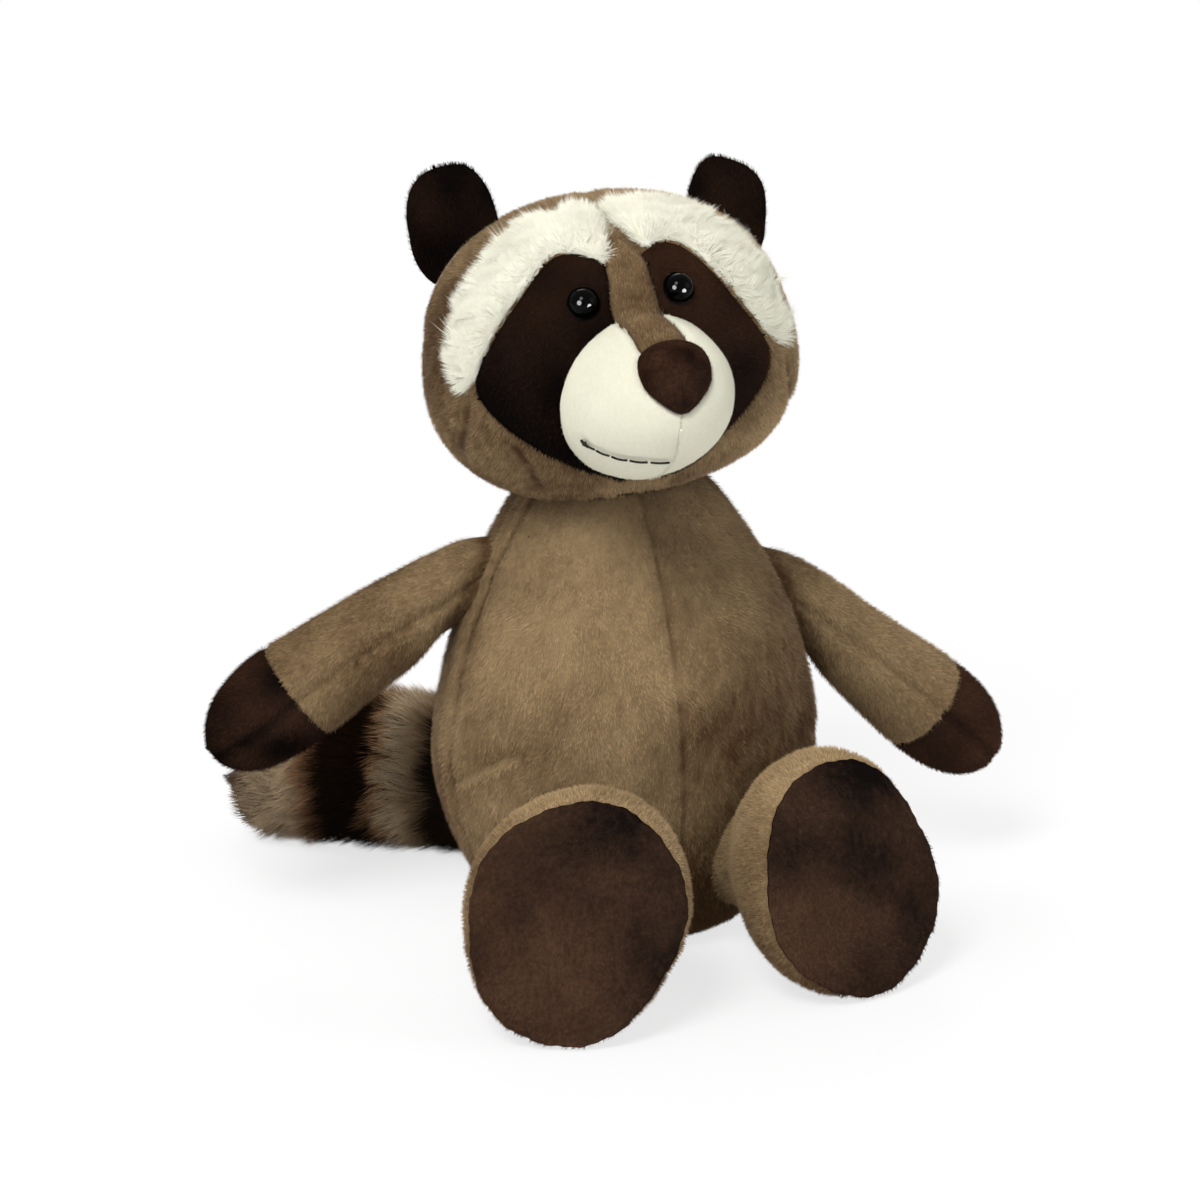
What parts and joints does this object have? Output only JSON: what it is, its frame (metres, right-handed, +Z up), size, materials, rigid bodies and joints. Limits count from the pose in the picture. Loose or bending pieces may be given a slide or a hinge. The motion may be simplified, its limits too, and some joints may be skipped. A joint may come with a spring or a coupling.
{
  "type": "plush raccoon toy",
  "caption": "Seated soft toy raccoon with outstretched arms, oval soled feet, a patched face with long pale brow fur, and a thick banded tail lying on the floor behind it.",
  "frame": {"origin": "the middle of the torso's flat underside, on the plane that the toy sits on", "axes": "+Z up, -Y out of the toy's chest, +X towards the toy's own left"},
  "size_m": [0.2432, 0.2143, 0.2224],
  "materials": {
    "taupe_plush": "short brushed pile",
    "dark_plush": "short brushed pile",
    "sole_plush": "short dense pile",
    "nose_plush": "short dense pile",
    "cream_plush": "short brushed pile",
    "cream_long_pile": "long combed pile",
    "tail_long_pile": "long banded pile, dark brown and tan",
    "eye_gloss": "polished",
    "washer_plastic": "moulded"
  },
  "bodies": {
    "root": {"torso": "taupe_plush", "head": "taupe_plush", "nose_bridge": "taupe_plush", "mask_left": "dark_plush", "mask_right": "dark_plush", "brow_fur_left": "cream_long_pile", "brow_fur_right": "cream_long_pile", "muzzle_left": "cream_plush", "muzzle_right": "cream_plush", "nose": "nose_plush", "eye_left": "eye_gloss", "eye_right": "eye_gloss", "eye_washer_left": "washer_plastic", "eye_washer_right": "washer_plastic", "ear_left": "dark_plush", "ear_right": "dark_plush", "arm_left": "taupe_plush", "arm_right": "taupe_plush", "hand_left": "dark_plush", "hand_right": "dark_plush", "leg_left": "taupe_plush", "leg_right": "taupe_plush", "sole_left": "sole_plush", "sole_right": "sole_plush", "tail": "tail_long_pile"}
  },
  "joints": []
}
